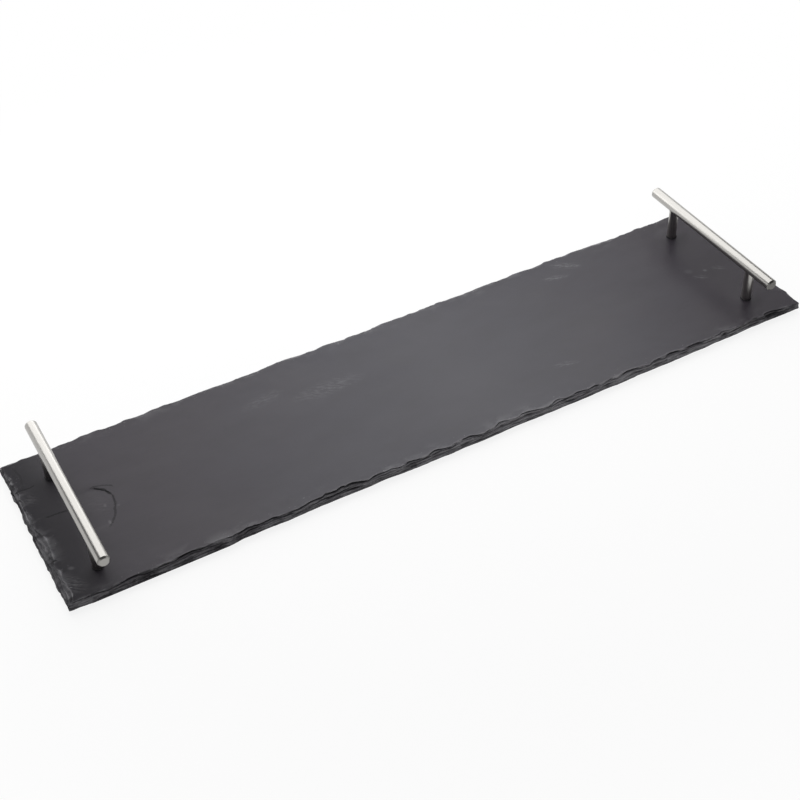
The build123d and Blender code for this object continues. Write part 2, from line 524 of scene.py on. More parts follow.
        # Half of the clouds follow the distance from the middle: the bluer middle is a painted tint of the
        # sheen.
        clouds = sheet.noise(place, 11.0, 3.0, 0.5) * 0.5 + away.step(0.0, 0.30) * 0.5
        mottle = sheet.noise(place, (38.0, 95.0, 60.0), 5.0, 0.6)
        grain = sheet.noise(place, 1500.0, 2.0, 0.5)
        colour = sheet.mix(clouds.step(0.25, 0.80), self.split, self.warm)
        colour = sheet.mix(mottle.step(0.60, 0.28) * 0.22, colour, self.deep)
        colour = sheet.mix(sheet.part(place, "X").step(-0.245, -0.290) * 0.9, colour, self.deep)
        return sheet.mix(grain.step(0.45, 0.30) * 0.30, colour, self.deep)


@dataclass(frozen=True)
class SteelFinish:
    """Steel with fine finishing lines, or dull plating."""

    name: str
    lay: Lay
    bright: Colour = (0.425, 0.415, 0.396, 1.0)
    dull: Colour = (0.385, 0.375, 0.357, 1.0)
    roughness: float = 0.29
    unevenness: float = 0.06
    line_height: float = 0.002 * MM
    line_shade: float = 0.7
    # Dark colour for the bars' end faces and chamfers, a painted dark reflection.
    turned: Colour = (0.120, 0.117, 0.111, 1.0)

    def material(self) -> bpy.types.Material:
        """Build the finish.

        Returns:
            The material.
        """
        material, sheet = new_material(self.name)
        place = sheet.place()
        lines = sheet.noise(place, self.lay.value, 3.0, 0.6)
        hazy = sheet.noise(place, 55.0, 3.0, 0.5)
        colour = sheet.mix(lines.step(0.62, 0.36) * self.line_shade, self.bright, self.dull)
        # Painted dark reflection where the mesh is marked: the bars' end faces and chamfers.
        colour = sheet.mix(sheet.attribute("turned"), colour, self.turned)
        rough = self.roughness + (lines - 0.5) * self.unevenness + (hazy - 0.5) * self.unevenness
        sheet.principled({
            "Base Color": colour,
            "Roughness": rough,
            "Metallic": 1.0,
            "Normal": sheet.relief(lines * self.line_height),
        })
        return material


@dataclass(frozen=True)
class RubberFinish:
    """Soft dark moulding with a fine matt bloom."""

    name: str
    deep: Colour
    bloom: Colour
    grain: float
    roughness: float = 0.72
    unevenness: float = 0.25
    grain_height: float = 0.04 * MM

    def material(self) -> bpy.types.Material:
        """Build the finish.

        Returns:
            The material.
        """
        material, sheet = new_material(self.name)
        place = sheet.place()
        clouds = sheet.noise(place, 180.0, 3.0, 0.6)
        grain = sheet.noise(place, self.grain, 3.0, 0.6)
        colour = sheet.mix(clouds.step(0.4, 0.75), self.deep, self.bloom)
        sheet.principled({
            "Base Color": colour,
            "Roughness": self.roughness + (grain - 0.5) * self.unevenness,
            "Normal": sheet.relief(grain * self.grain_height),
            "Specular IOR Level": 0.3,
        })
        return material


@dataclass
class Shape:
    """Points and faces of a mesh in the making."""

    points: np.ndarray
    faces: list[tuple[int, ...]]

    def moved(self, offset: Sequence[float]) -> "Shape":
        """The same shape, shifted."""
        return Shape(self.points + np.asarray(offset, float), self.faces)

    def over(self, node: str) -> "Shape":
        """The same shape, shifted in plan to the middle of a CAD node."""
        middle = sum(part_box(node), Vector()) / 2
        return self.moved((middle.x, middle.y, 0))

    def laid_along_y(self) -> "Shape":
        """The same shape with its Z axis turned onto Y."""
        x, y, z = self.points.T
        return Shape(np.stack([x, z, -y], axis=1), self.faces)

    def mesh(self, name: str) -> bpy.types.Mesh:
        """A Blender mesh of it with its faces turned outwards.

        Args:
            name: The mesh's name.

        Returns:
            The mesh.
        """
        made = bpy.data.meshes.new(name)
        made.from_pydata(self.points.tolist(), [], self.faces)
        working = bmesh.new()
        working.from_mesh(made)
        bmesh.ops.recalc_face_normals(working, faces=working.faces)
        working.to_mesh(made)
        working.free()
        return made


def turns(segments: int) -> np.ndarray:
    """Evenly spaced angles round a full turn."""
    return np.arange(segments) * (2 * math.pi / segments)


def turned(rows: Sequence[tuple[Reach, Reach]], segments: int, hollow: bool = False) -> Shape:
    """Skin a form turned about Z.

    Args:
        rows: Radius and height of each row, as numbers or one value per segment.
        segments: Points in each row.
        hollow: True for a ring, whose last row joins its first; otherwise both ends are closed.

    Returns:
        The closed shape.
    """
    angles = turns(segments)
    rings = []
    for radius, height in rows:
        radii = np.broadcast_to(radius, segments)
        heights = np.broadcast_to(height, segments)
        rings.append(np.stack([radii * np.cos(angles), radii * np.sin(angles), heights], axis=1))
    points = np.concatenate(rings)
    faces: list[tuple[int, ...]] = []
    count = len(rows)
    for row in range(count if hollow else count - 1):
        faces += band(row * segments, (row + 1) % count * segments, segments)
    if not hollow:
        middles = [rings[0].mean(axis=0), rings[-1].mean(axis=0)]
        points = np.concatenate([points, middles])
        for apex, start in ((count * segments, 0), (count * segments + 1, (count - 1) * segments)):
            faces += [(apex, start + k, start + (k + 1) % segments) for k in range(segments)]
    return Shape(points, faces)


def band(first: int, second: int, count: int) -> list[tuple[int, ...]]:
    """Quads between two closed rows of points, from the first point of each and their count."""
    following = [(k + 1) % count for k in range(count)]
    return [(first + k, first + n, second + n, second + k) for k, n in enumerate(following)]


def rounded_rim(radius: float, face: float, ease: float, steps: int = 5) -> list[tuple[Reach, Reach]]:
    """Rows of the rounded lower rim of a turned form, from its face out to its side."""
    angles = [math.pi / 2 * (1 - k / steps) for k in range(steps + 1)]
    return [(radius - ease * (1 - math.cos(a)), face + ease * (1 - math.sin(a))) for a in angles]


def finished_piece(
    name: str, shape: Shape, finish: bpy.types.Material, node: str, crease: float = 32.0
) -> bpy.types.Object:
    """Put a piece in the scene in place of its CAD node.

    Args:
        name: The piece's name.
        shape: Its mesh, in the shared frame.
        finish: Its material.
        node: The CAD node that it stands for.
        crease: Edges sharper than this angle, in degrees, stay crisp.

    Returns:
        The piece.
    """
    piece = bpy.data.objects.new(name, shape.mesh(name))
    bpy.context.scene.collection.objects.link(piece)
    smooth(piece, crease)
    piece.data.materials.append(finish)
    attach(piece, BODY)
    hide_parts(node)
    LOG.info("%s stands for %s: %d faces", name, node, len(piece.data.polygons))
    return piece


def points_of(piece: bpy.types.Object) -> np.ndarray:
    """Read a piece's points.

    Args:
        piece: The piece.

    Returns:
        Its points, one row each.
    """
    flat = np.empty(3 * len(piece.data.vertices), np.float32)
    piece.data.vertices.foreach_get("co", flat)
    return flat.reshape(-1, 3)


def mark(piece: bpy.types.Object, name: str, values: np.ndarray) -> None:
    """Give each of a piece's points a value that its finish can read."""
    kept = piece.data.attributes.new(name, "FLOAT", "POINT")
    kept.data.foreach_set("value", np.asarray(values, np.float32))


def smooth(piece: bpy.types.Object, crease: float) -> None:
    """Shade a piece smooth, with edges sharper than an angle in degrees left crisp."""
    piece.data.shade_smooth()
    piece.data.set_sharp_from_angle(angle=math.radians(crease))


def drill(piece: bpy.types.Object, holes: Sequence[Shape], crease: float) -> None:
    """Cut closed shapes out of a piece.

    Args:
        piece: The piece.
        holes: What is cut away.
        crease: Edges sharper than this angle, in degrees, stay crisp.
    """
    for hole in holes:
        cutter = bpy.data.objects.new("drill", hole.mesh("drill"))
        bpy.context.scene.collection.objects.link(cutter)
        cut = piece.modifiers.new("drill", "BOOLEAN")
        cut.object = cutter
        cut.operation = "DIFFERENCE"
        cut.solver = "EXACT"
        bpy.context.view_layer.update()
        view = bpy.context.evaluated_depsgraph_get()
        made = bpy.data.meshes.new_from_object(piece.evaluated_get(view))
        piece.modifiers.clear()
        piece.data = made
        bpy.data.objects.remove(cutter)
    smooth(piece, crease)


class Grain:
    """Seeded smooth noise on a plane, from -1 to 1."""

    CELLS = 256
    SHIFT = (17.3, 9.1)
    SPREAD = 1.5

    def __init__(self, seed: int) -> None:
        """Draw the noise's lattice."""
        self.lattice = np.random.default_rng(seed).uniform(-1, 1, (self.CELLS, self.CELLS))

    def at(self, x: np.ndarray, y: np.ndarray) -> np.ndarray:
        """The noise at points of the plane.

        Args:
            x: First coordinates, in cells.
            y: Second coordinates, in cells.

        Returns:
            One value per point.
        """
        x, y = np.broadcast_arrays(np.asarray(x, float), np.asarray(y, float))
        column, row = np.floor(x).astype(int), np.floor(y).astype(int)
        u, v = x - column, y - row
        u, v = (t * t * t * (t * (6 * t - 15) + 10) for t in (u, v))
        left, right = column % self.CELLS, (column + 1) % self.CELLS
        low, high = row % self.CELLS, (row + 1) % self.CELLS
        bottom = self.lattice[left, low] * (1 - u) + self.lattice[right, low] * u
        top = self.lattice[left, high] * (1 - u) + self.lattice[right, high] * u
        return bottom * (1 - v) + top * v

    def layered(self, x: np.ndarray, y: np.ndarray, layers: int = 3) -> np.ndarray:
        """The noise with finer, weaker layers on it.

        Args:
            x: First coordinates, in cells of the coarsest layer.
            y: Second coordinates.
            layers: How many layers.

        Returns:
            One value per point.
        """
        total = np.zeros(np.broadcast(x, y).shape)
        for layer in range(layers):
            scale = 2.0 ** layer
            u, v = (shift * layer for shift in self.SHIFT)
            total = total + self.at(x * scale + u, y * scale + v) / scale
        return total / self.SPREAD


def ramp(value: np.ndarray, low: float, high: float) -> np.ndarray:
    """Rise smoothly from 0 to 1 between two values."""
    t = np.clip((value - low) / (high - low), 0, 1)
    return t * t * (3 - 2 * t)


@dataclass
class CrescentScar:
    """A shallow spall in the top face with a crisp curved rim on its right."""

    tip_x: float = -239.2 * MM
    middle_y: float = 4 * MM
    back_span: float = 15.7 * MM
    back_curl: float = 2.1
    front_span: float = 27 * MM
    front_curl: float = 1.9
    bulge: float = 12.5 * MM
    run: float = 20 * MM
    depth: float = 0.40 * MM

    def away(self, y: np.ndarray) -> np.ndarray:
        """How far along the rim a point is from its tip, as a share of the rim's span there."""
        off = y - self.middle_y
        return np.where(off > 0, off / self.back_span, -off / self.front_span)

    def rim(self, y: np.ndarray) -> np.ndarray:
        """How far right the rim reaches at each y."""
        curl = np.where(y > self.middle_y, self.back_curl, self.front_curl)
        return self.tip_x - self.bulge * np.minimum(self.away(y), 1.3) ** curl

    def sunk(self, x: np.ndarray, y: np.ndarray) -> np.ndarray:
        """How far the top is sunk at points.

        Args:
            x: Their x.
            y: Their y.

        Returns:
            Depths, 0 outside.
        """
        inside = self.rim(y) - x
        open_end = ramp(self.away(y), 1.0, 0.8)
        return self.depth * open_end * np.clip(1 - inside / self.run, 0, 1) * (inside > 0)

    def rim_points(self, spacing: float, offset: float) -> np.ndarray:
        """Points along both sides of the rim, so that the mesh keeps it crisp.

        Args:
            spacing: Between points along the rim.
            offset: To each side of the rim.

        Returns:
            Points in plan.
        """
        y = self.middle_y + np.arange(-self.front_span, self.back_span, spacing)
        x = self.rim(y)
        return np.concatenate([np.stack([x + side * offset, y], axis=1) for side in (-1, 1)])


@dataclass(frozen=True)
class Flake:
    """A shell-shaped scar in the front edge: its peak, its reach to the left and right, and its depth."""

    x: float
    before: float
    after: float
    depth: float

    def inset(self, x: np.ndarray) -> np.ndarray:
        """How far the top's lip steps back at places along the edge."""
        away = np.where(x < self.x, (self.x - x) / self.before, (x - self.x) / self.after)
        return self.depth * (1 - np.minimum(away, 1) ** 1.4)


@dataclass
class EdgeRow:
    """One row of points round the broken edge: how far in, how high, how dark with joints and painted shade,
    and how broken.
    """

    inset: np.ndarray
    height: np.ndarray
    joints_and_shade: np.ndarray
    broken: np.ndarray


@dataclass
class SlateBoard:
    """The slab: the CAD's broken outline split into thin sheets, a riven top and drilled recesses."""

    node: str = "slate_board"
    slot: str = "slate"
    seed: int = 23
    spacing: float = 0.85 * MM
    levels: int = 25
    top_rows: int = 11
    under_rows: int = 3
    under_share: float = 0.65
    row_gather: float = 1.3
    rim: float = 20 * MM
    corner_fan: float = 42 * MM
    grid: float = 4.0 * MM
    scar_grid: float = 1.2 * MM
    scar_margin: float = 4 * MM
    scar_crisp: float = 0.14 * MM
    crease: float = 38.0
    sheet_shares: tuple[float, ...] = (0.17, 0.33, 0.50, 0.66, 0.80, 0.91)
    sheet_wander: float = 0.17
    sheet_run: float = 24 * MM
    open_run: float = 19 * MM
    least_share: float = 0.03
    most_share: float = 0.97
    cad_pull: float = 0.35
    lead: float = 0.16
    undercut: float = 0.55 * MM
    undercut_opens: tuple[float, float] = (0.1 * MM, 0.9 * MM)
    gap_opens: tuple[float, float] = (0.1 * MM, 0.7 * MM)
    # How dark the painted shade in the gap under a ledge is.
    gap_shade: float = 0.9
    hairline_run: float = 11 * MM
    hairline_dark: float = 0.45
    hollow_opens: tuple[float, float] = (0.3 * MM, 0.8 * MM)
    # Painted shadow along the foot of the edge, on its two lowest rows.
    foot_shadow: tuple[float, float] = (0.75, 0.7)
    # How much less painted shadow the foot gets at the left end.
    left_foot_shadow_cut: float = 0.75
    # How much less painted shade and joint darkness the left end's steps get.
    left_joint_shade_cut: float = 0.4
    least_inset: float = 0.02 * MM
    most_reach: float = 0.85
    ease: float = 0.12 * MM
    foot_bevel: float = 0.45 * MM
    foot_share: float = 0.14
    foot_jag: float = 0.45 * MM
    jag: float = 0.20 * MM
    jag_run: float = 3.2 * MM
    most_jag: float = 1.2 * MM
    ledge_jag: float = 0.22
    lip_jag: float = 0.45 * MM
    left_jag: float = 1.7 * MM
    back_jag: float = 0.5 * MM
    bites: tuple[float, ...] = (0.0, 0.4 * MM, 0.9 * MM, 1.6 * MM, 2.1 * MM, 2.3 * MM)
    bite_run: float = 30 * MM
    bite_chip: float = 7 * MM
    bite_shares: tuple[float, float, float] = (0.40, -0.15, 0.10)
    ledge_loss: tuple[float, float] = (0.35, 0.45)
    facing: tuple[float, float] = (0.6, 0.95)
    evening: tuple[float, float] = (1.5, 13.0)
    settle: float = 5 * MM
    broken_reach: float = 1.0 * MM
    lip_wear_and_highlight_reach: float = 11 * MM
    swell: float = 0.28 * MM
    ripple: float = 0.05 * MM
    swell_run: tuple[float, float] = (75 * MM, 52 * MM)
    ripple_run: tuple[float, float] = (7 * MM, 6 * MM)
    under_run: tuple[float, float] = (60 * MM, 45 * MM)
    fill_gap: float = 0.6
    fill_stray: float = 0.2
    post_gap: float = 0.4
    seat: float = 6 * MM
    seat_blend: float = 9 * MM
    hole_clearance: float = 0.4 * MM
    recess_clearance: float = 0.5 * MM
    hole_segments: int = 40
    sliver: float = 1e-3
    scar: CrescentScar = field(default_factory=CrescentScar)
    toe: tuple[tuple[float, float], ...] = (
        (-300, 1.4), (-187, 1.3), (-176, 0.0), (-66, 0.0), (-50, 0.5), (60, 1.0), (160, 1.0), (215, 0.3),
    )
    flake_shares: tuple[float, ...] = (0.0, 0.08, 0.16, 0.22, 0.46, 0.08)
    flakes: tuple[tuple[float, float, float, float], ...] = (
        (-254, 8, 8, 2.4), (-212, 16, 18, 2.6), (-169, 14, 12, 3.0), (-153, 12, 8, 3.2),
        (-95, 40, 16, 5.4), (-69, 16, 18, 3.0), (-44, 8, 8, 2.8), (-26, 9, 12, 3.0),
        (1, 7, 10, 2.7), (28, 8, 10, 2.5), (51, 10, 12, 2.9), (76, 6, 7, 2.5),
        (94, 7, 8, 2.4), (108, 7, 7, 1.8), (139, 8, 12, 2.6), (163, 8, 8, 2.2),
        (179, 9, 10, 2.8), (202, 12, 11, 3.1), (227, 12, 9, 2.6), (270, 5, 26, 4.0),
    )
    flake_jag: float = 0.22

    def build(self, posts: Sequence[Vector], finish: bpy.types.Material) -> bpy.types.Object:
        """Make the slab.

        Args:
            posts: Where the screws pass through it.
            finish: Its material.

        Returns:
            The piece.
        """
        self.low, self.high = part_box(self.node)
        self.posts = posts
        self.grain = Grain(self.seed)
        self._lay_rails()
        shape, marks = self._skin()
        piece = finished_piece("dressed_slate", shape, finish, self.node, self.crease)
        for name, values in marks.items():
            mark(piece, name, values)
        return piece

    def _lay_rails(self) -> None:
        """Lay points round the cut size, and a matching rectangle inside it."""
        low, high = self.low, self.high
        corners = [(low.x, low.y), (high.x, low.y), (high.x, high.y), (low.x, high.y)]
        outer, inner, along = [], [], []
        walked = 0.0
        for start, end in zip(corners, corners[1:] + corners[:1]):
            start, end = np.array(start), np.array(end)
            length = np.linalg.norm(end - start)
            direction = (end - start) / length
            inward = np.array([-direction[1], direction[0]])
            count = round(length / self.spacing)
            run = np.arange(count) * (length / count)
            kept = (self.corner_fan - self.rim) / self.corner_fan
            near = np.minimum(run, self.corner_fan)
            far = np.maximum(run - (length - self.corner_fan), 0)
            middle = np.clip(run, self.corner_fan, length - self.corner_fan)
            moved = self.rim + near * kept + (middle - self.corner_fan) + far * kept
            outer.append(start + run[:, None] * direction)
            inner.append(start + moved[:, None] * direction + self.rim * inward)
            along.append(walked + run)
            walked += length
        self.outer, self.inner = np.concatenate(outer), np.concatenate(inner)
        self.along, self.girth = np.concatenate(along), walked
        reach = self.inner - self.outer
        self.reach = np.linalg.norm(reach, axis=1)
        self.inward = reach / self.reach[:, None]
        to_right, to_back = self.inward.T
        self.left, self.front, self.behind = (
            ramp(way, *self.facing) for way in (to_right, to_back, -to_back)
        )

    def _cad_inset(self) -> np.ndarray:
        """How far in the CAD's edge lies at each rail point, at even levels from the underside up.

        Returns:
            Insets, one row per rail point.
        """
        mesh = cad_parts[self.node].data
        tree = BVHTree.FromPolygons(
            [v.co.copy() for v in mesh.vertices], [tuple(p.vertices) for p in mesh.polygons]
        )
        start, margin = 2 * MM, 0.03 * MM
        levels = np.linspace(self.low.z + margin, self.high.z - margin, self.levels)
        inset = np.zeros((len(self.outer), len(levels)))
        for i, (point, inward, reach) in enumerate(zip(self.outer, self.inward, self.reach)):
            direction = Vector((inward[0], inward[1], 0))
            for j, level in enumerate(levels):
                origin = Vector((point[0] - inward[0] * start, point[1] - inward[1] * start, level))
                distance = tree.ray_cast(origin, direction, reach)[3]
                inset[i, j] = reach * 0.7 if distance is None else distance - start
        left = self.left[:, None]
        fine, coarse = (self._evened(inset, points) for points in self.evening)
        return fine * (1 - left) + coarse * left

    def _evened(self, inset: np.ndarray, points: float) -> np.ndarray:
        """Even out insets along the edge.

        Args:
            inset: The insets, one row for each rail point.
            points: How many rail points one is evened out over.

        Returns:
            The evened insets.
        """
        half = math.ceil(2.5 * points)
        weights = np.exp(-0.5 * (np.arange(-half, half + 1) / points) ** 2)
        weights = weights / weights.sum()
        return sum(np.roll(inset, k - half, axis=0) * weight for k, weight in enumerate(weights))

    def _chipped(self, pitch: float, salt: int) -> np.ndarray:
        """Angular noise along the edge, as broken stone has, from -1 to 1.

        Args:
            pitch: How far apart its corners are.
            salt: A number that makes it differ from others.

        Returns:
            One value per rail point.
        """
        rng = np.random.default_rng([self.seed, salt])
        count = round(self.girth / pitch)
        corners = (np.arange(count) + rng.uniform(-0.4, 0.4, count)) * (self.girth / count)
        return np.interp(self.along, corners, rng.uniform(-1, 1, count), period=self.girth)

    def _chips(self, *layers: tuple[float, float, int]) -> np.ndarray:
        """A sum of angular noises along the edge: the weight, pitch and salt of each."""
        return sum(weight * self._chipped(pitch, salt) for weight, pitch, salt in layers)

    def _ledge(self, k: int, wanted: np.ndarray) -> np.ndarray:
        """How far a sheet steps back from the one below it.

        Args:
            k: Which sheet, from below.
            wanted: The step that would bring it to the CAD's edge.

        Returns:
            Its step at each rail point.
        """
        where = self.along / self.open_run + 57 * k
        opened = ramp(self.grain.layered(where, np.full_like(where, 3.3 * k + 100), 2), -0.3, 0.3)
        bitten = self._chips((1, self.bite_run, 40 + k), (0.35, self.bite_chip, 50 + k))
        anywhere, at_front, at_left = self.bite_shares
        share = anywhere + at_front * self.front + at_left * self.left
        front_loss, left_loss = self.ledge_loss
        kept = 1 - front_loss * self.front - left_loss * self.left
        return (opened * np.maximum(wanted, 0) + self.bites[k] * ramp(bitten, 0.05, 0.6) * share) * kept

    def _toe(self) -> np.ndarray:
        """How far the lowest sheet stands out at the front at each rail point."""
        places, reaches = zip(*self.toe)
        return self.front * np.interp(self.outer[:, 0] / MM, places, reaches) * MM

    def _flaked(self) -> np.ndarray:
        """How far the flake scars of the front edge set the top's lip back.

        Returns:
            The set-back at each rail point.
        """
        flakes = [Flake(*(length * MM for length in lengths)) for lengths in self.flakes]
        deepest = np.max([flake.inset(self.outer[:, 0]) for flake in flakes], axis=0)
        return self.front * deepest * (1 + self.flake_jag * self._chipped(4 * MM, 61))

    def _foot_chips(self) -> np.ndarray:
        """How ragged the foot of the edge is, most at the left end.

        Returns:
            The raggedness at each rail point.
        """
        chips = self._chips((1, 9 * MM, 80), (0.5, 2.6 * MM, 81))
        notched = ramp(self._chipped(17 * MM, 83), 0.5, 0.75)
        nicked = self._chips((3.0, 4.5 * MM, 82), (1.8, 2.2 * MM, 84))
        return chips + self.left * (nicked - 0.7 + 3.5 * notched)

    def _lip_chips(self) -> np.ndarray:
        """How far chips move the top's lip, most at the left end and the back.

        Returns:
            The shift at each rail point.
        """
        chips = self.lip_jag * self._chips((1, 5 * MM, 70), (0.5, 1.9 * MM, 71), (1.2, 12 * MM, 74))
        broad = self._chips((1.6, 15 * MM, 72), (0.7, 5 * MM, 73))
        return chips + (self.left * self.left_jag + self.behind * self.back_jag) * broad

    def _cad_at(self, cad: np.ndarray, share: np.ndarray) -> np.ndarray:
        """The CAD's inset at a share of the thickness.

        Args:
            cad: Insets at even levels, one row per rail point.
            share: The share at each rail point.

        Returns:
            One inset per rail point.
        """
        place = np.clip(share, 0, 1) * (self.levels - 1)
        below = np.minimum(place.astype(int), self.levels - 2)
        part = place - below
        points = np.arange(len(cad))
        return cad[points, below] * (1 - part) + cad[points, below + 1] * part

    def _edge_rows(self, thick: np.ndarray) -> list[EdgeRow]:
        """Split the edge into thin sheets that step back one over the other, with dark gaps between: painted
        shade under ledges and flakes, a painted shadow along the foot, and dark hairline joints.

        Args:
            thick: The slab's thickness at each rail point.

        Returns:
            The rows, from the underside up to the top's lip.
        """
        cad = self._cad_inset()
        none, whole, run, left = np.zeros(len(cad)), np.ones(len(cad)), self.along, self.left
        inset = cad[:, 0] + self.foot_jag * (0.6 + 0.5 * self._foot_chips()) - self._toe()
        # Painted shadow along the foot of the edge, weaker at the left end.
        under, toe = (dark * (1 - self.left_foot_shadow_cut * left) for dark in self.foot_shadow)
        rows = [EdgeRow(inset + self.foot_bevel, none, under, whole)]
        rows.append(EdgeRow(inset, thick * self.foot_share, toe, whole))
        share, jag, shadow = self.foot_share * whole, none, none
        flaked = self._flaked()
        for k, base in enumerate(self.sheet_shares):
            wander = self.grain.layered(run / self.sheet_run + 31 * k, none + 7.7 * k)
            share = np.clip(base + self.sheet_wander * wander, share + self.least_share, self.most_share)
            height = thick * share
            inset = inset + self.cad_pull * np.maximum(self._cad_at(cad, share) - inset, 0)
            # Painted shade on each riser, carried up from the flake hollows below.
            dark = np.maximum(0.9 * shadow, 0.0 if k else 0.2)
            rows.append(EdgeRow(inset + jag, height - self.ease, dark, 0.9 * whole))
            rows.append(EdgeRow(inset + jag + self.ease, height, 0.8 * shadow, 0.45 * whole))
            hollow = flaked * self.flake_shares[k]
            ledge = self._ledge(k, self._cad_at(cad, share + self.lead) - inset)
            inset = inset + ledge + hollow
            shadow = np.maximum(shadow, ramp(hollow, *self.hollow_opens))
            ledge = ledge * (1 - 0.5 * ramp(flaked, 0, 2 * MM)) + hollow * shadow
            ragged = np.minimum(self.jag + self.ledge_jag * ledge, self.most_jag)
            jag = self._chipped(self.jag_run, 10 + k) * ragged
            jag = jag + left * self.left_jag * 0.5 * self._chipped(7 * MM, 90 + k) * ramp(ledge, 0, 2 * MM)
            split = self.grain.at(run / self.hairline_run + 71 * k, none + 9.9 * k)
            hairline = self.hairline_dark * ramp(split, 0.0, 0.5)
            # Painted shade in the gap under each ledge.
            gap = self.gap_shade * ramp(ledge, *self.gap_opens)
            # A step's darkness: painted shade in gaps and under flakes, and dark hairline joints, less at
            # the left end.
            dark = np.maximum.reduce([gap, hairline, shadow]) * (1 - self.left_joint_shade_cut * left)
            deep = self.undercut * ramp(ledge, *self.undercut_opens)
            foot = inset + jag
            rows.append(EdgeRow(foot - 0.25 * ledge, height + 0.02 * MM, 0.15 * dark, 0.3 * whole))
            rows.append(EdgeRow(foot + deep, height + 0.05 * MM, dark, whole))
        lip = np.maximum(cad[:, -1], inset) + self._lip_chips()
        rows.append(EdgeRow(lip - self.ease, thick - self.ease, 0.7 * shadow, whole))
        rows.append(EdgeRow(lip, thick, none, 0.4 * whole))
        for row in rows:
            row.inset = np.clip(row.inset, self.least_inset, self.most_reach * self.reach)
        return rows

    def _free(
        self, x: np.ndarray, y: np.ndarray, spots: Sequence[Vector], seat: tuple[float, float]
    ) -> np.ndarray:
        """How free points are of flat seats.

        Args:
            x: Their x.
            y: Their y.
            spots: The seats' middles.
            seat: A seat's radius, and the radius from which the face is free.

        Returns:
            0 on a seat, rising to 1.
        """
        free = np.ones_like(x)
        for spot in spots:
            free = free * ramp(np.hypot(x - spot.x, y - spot.y), *seat)
        return free

    def _top_height(self, x: np.ndarray, y: np.ndarray) -> np.ndarray:
        """The riven top face.

        Args:
            x: Points' x.
            y: Points' y.

        Returns:
            Their heights.
        """
        (long, wide), (short, narrow) = self.swell_run, self.ripple_run
        swell = self.swell * self.grain.layered(x / long, y / wide)
        ripple = self.ripple * self.grain.layered(x / short + 40, y / narrow, 2)
        relief = swell - self.swell + ripple - self.scar.sunk(x, y)
        return self.high.z + relief * self._free(x, y, self.posts, (self.seat, self.seat + self.seat_blend))

    def _skin(self) -> tuple[Shape, dict[str, np.ndarray]]:
        """Skin the slab: broken edge, top, underside and drilled holes.

        Returns:
            The closed shape, and per point how broken, how dark with joints and painted shade, and how near
            the lip it is.
        """
        count = len(self.outer)
        rough_lip = self.outer + self.inward * 4 * MM
        rows = self._edge_rows(self._top_height(*rough_lip.T) - self.low.z)
        parts, faces, broken, lip, joints_and_shade = [], [], [], [], []
        for index, row in enumerate(rows):
            place = self.outer + self.inward * row.inset[:, None]
            parts.append(np.column_stack([place, self.low.z + row.height]))
            broken.append(row.broken)
            # The row's darkness: painted shade in undercuts and along the foot, and dark joint lines.
            joints_and_shade.append(row.joints_and_shade)
            lip.append(np.full(count, 1.0 if index > len(rows) - 3 else 0.2))
        edge, edge_height = parts[-1][:, :2], parts[-1][:, 2]
        for k in range(1, self.top_rows + 1):
            place = edge + (self.inner - edge) * (k / self.top_rows) ** self.row_gather
            inside = np.linalg.norm(place - edge, axis=1)
            settled = ramp(inside, 0.0, self.settle)
            level = self._top_height(*place.T) * settled + edge_height * (1 - settled)
            parts.append(np.column_stack([place, level]))
            broken.append(np.clip(1 - inside / self.broken_reach, 0, 1) * 0.4)
            joints_and_shade.append(np.zeros(count))
            # How near the lip a top point is, for the pale lip: wear, chips and a painted highlight.
            lip.append(np.clip(1 - inside / self.lip_wear_and_highlight_reach, 0, 1) ** 2 * 0.8)
        total = len(parts)
        for row in range(total - 1):
            faces += band(row * count, (row + 1) * count, count)
        shape = self._close(Shape(np.concatenate(parts), faces), (total - 1) * count)
        marks = {"broken": broken, "lip": lip, "joints_and_shade": joints_and_shade}
        bare = np.zeros(len(shape.points) - total * count)
        return shape, {name: np.concatenate([*values, bare]) for name, values in marks.items()}

    def _circle(self, radius: float) -> np.ndarray:
        """A hole's rim in plan, about its own middle."""
        angles = turns(self.hole_segments)
        return np.stack([np.cos(angles), np.sin(angles)], axis=1) * radius

    def _close(self, shape: Shape, top_rail: int) -> Shape:
        """Close the slab with its middle, its underside and its drilled holes.

        Args:
            shape: The broken edge and the top's outer rows.
            top_rail: The first point of the top's inner rectangle.

        Returns:
            The closed shape.
        """
        count = len(self.outer)
        points, faces = [shape.points], list(shape.faces)
        total = len(shape.points)
        washer_low, washer_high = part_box("left_front_screw_washer")
        stud_low, stud_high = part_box("left_front_post_stud")
        hole = (stud_high.x - stud_low.x) / 2 + self.hole_clearance
        recess = (washer_high.x - washer_low.x) / 2 + self.recess_clearance
        first_row = shape.points[:count]
        under = self.outer + (self.inner - self.outer) * self.under_share
        previous = 0
        for k in range(1, self.under_rows + 1):
            place = first_row[:, :2] + (under - first_row[:, :2]) * (k / self.under_rows)
            points.append(np.column_stack([place, self._under_height(*place.T)]))
            faces += band(previous, total, count)
            previous = total
            total += count
        rows: list[list[int]] = []
        for radius, height in (
            (hole, self.high.z), (hole, washer_high.z), (recess, washer_high.z), (recess, self.low.z),
        ):
            rows.append([])
            for post in self.posts:
                ring = self._circle(radius) + (post.x, post.y)
                points.append(np.column_stack([ring, np.full(len(ring), height)]))
                rows[-1].append(total)
                total += self.hole_segments
        for upper, lower in zip(rows, rows[1:]):
            for first, second in zip(upper, lower):
                faces += band(first, second, self.hole_segments)
        for ring, rail, starts, radius, fine, riven in (
            (self.inner, top_rail, rows[0], hole, True, self._top_height),
            (under, previous, rows[-1], recess, False, self._under_height),
        ):
            fill, triangles = self._middle(ring, rail, starts, radius, fine, total)
            points.append(np.column_stack([fill, riven(*fill.T)]))
            faces += triangles
            total += len(fill)
        return Shape(np.concatenate(points), faces)

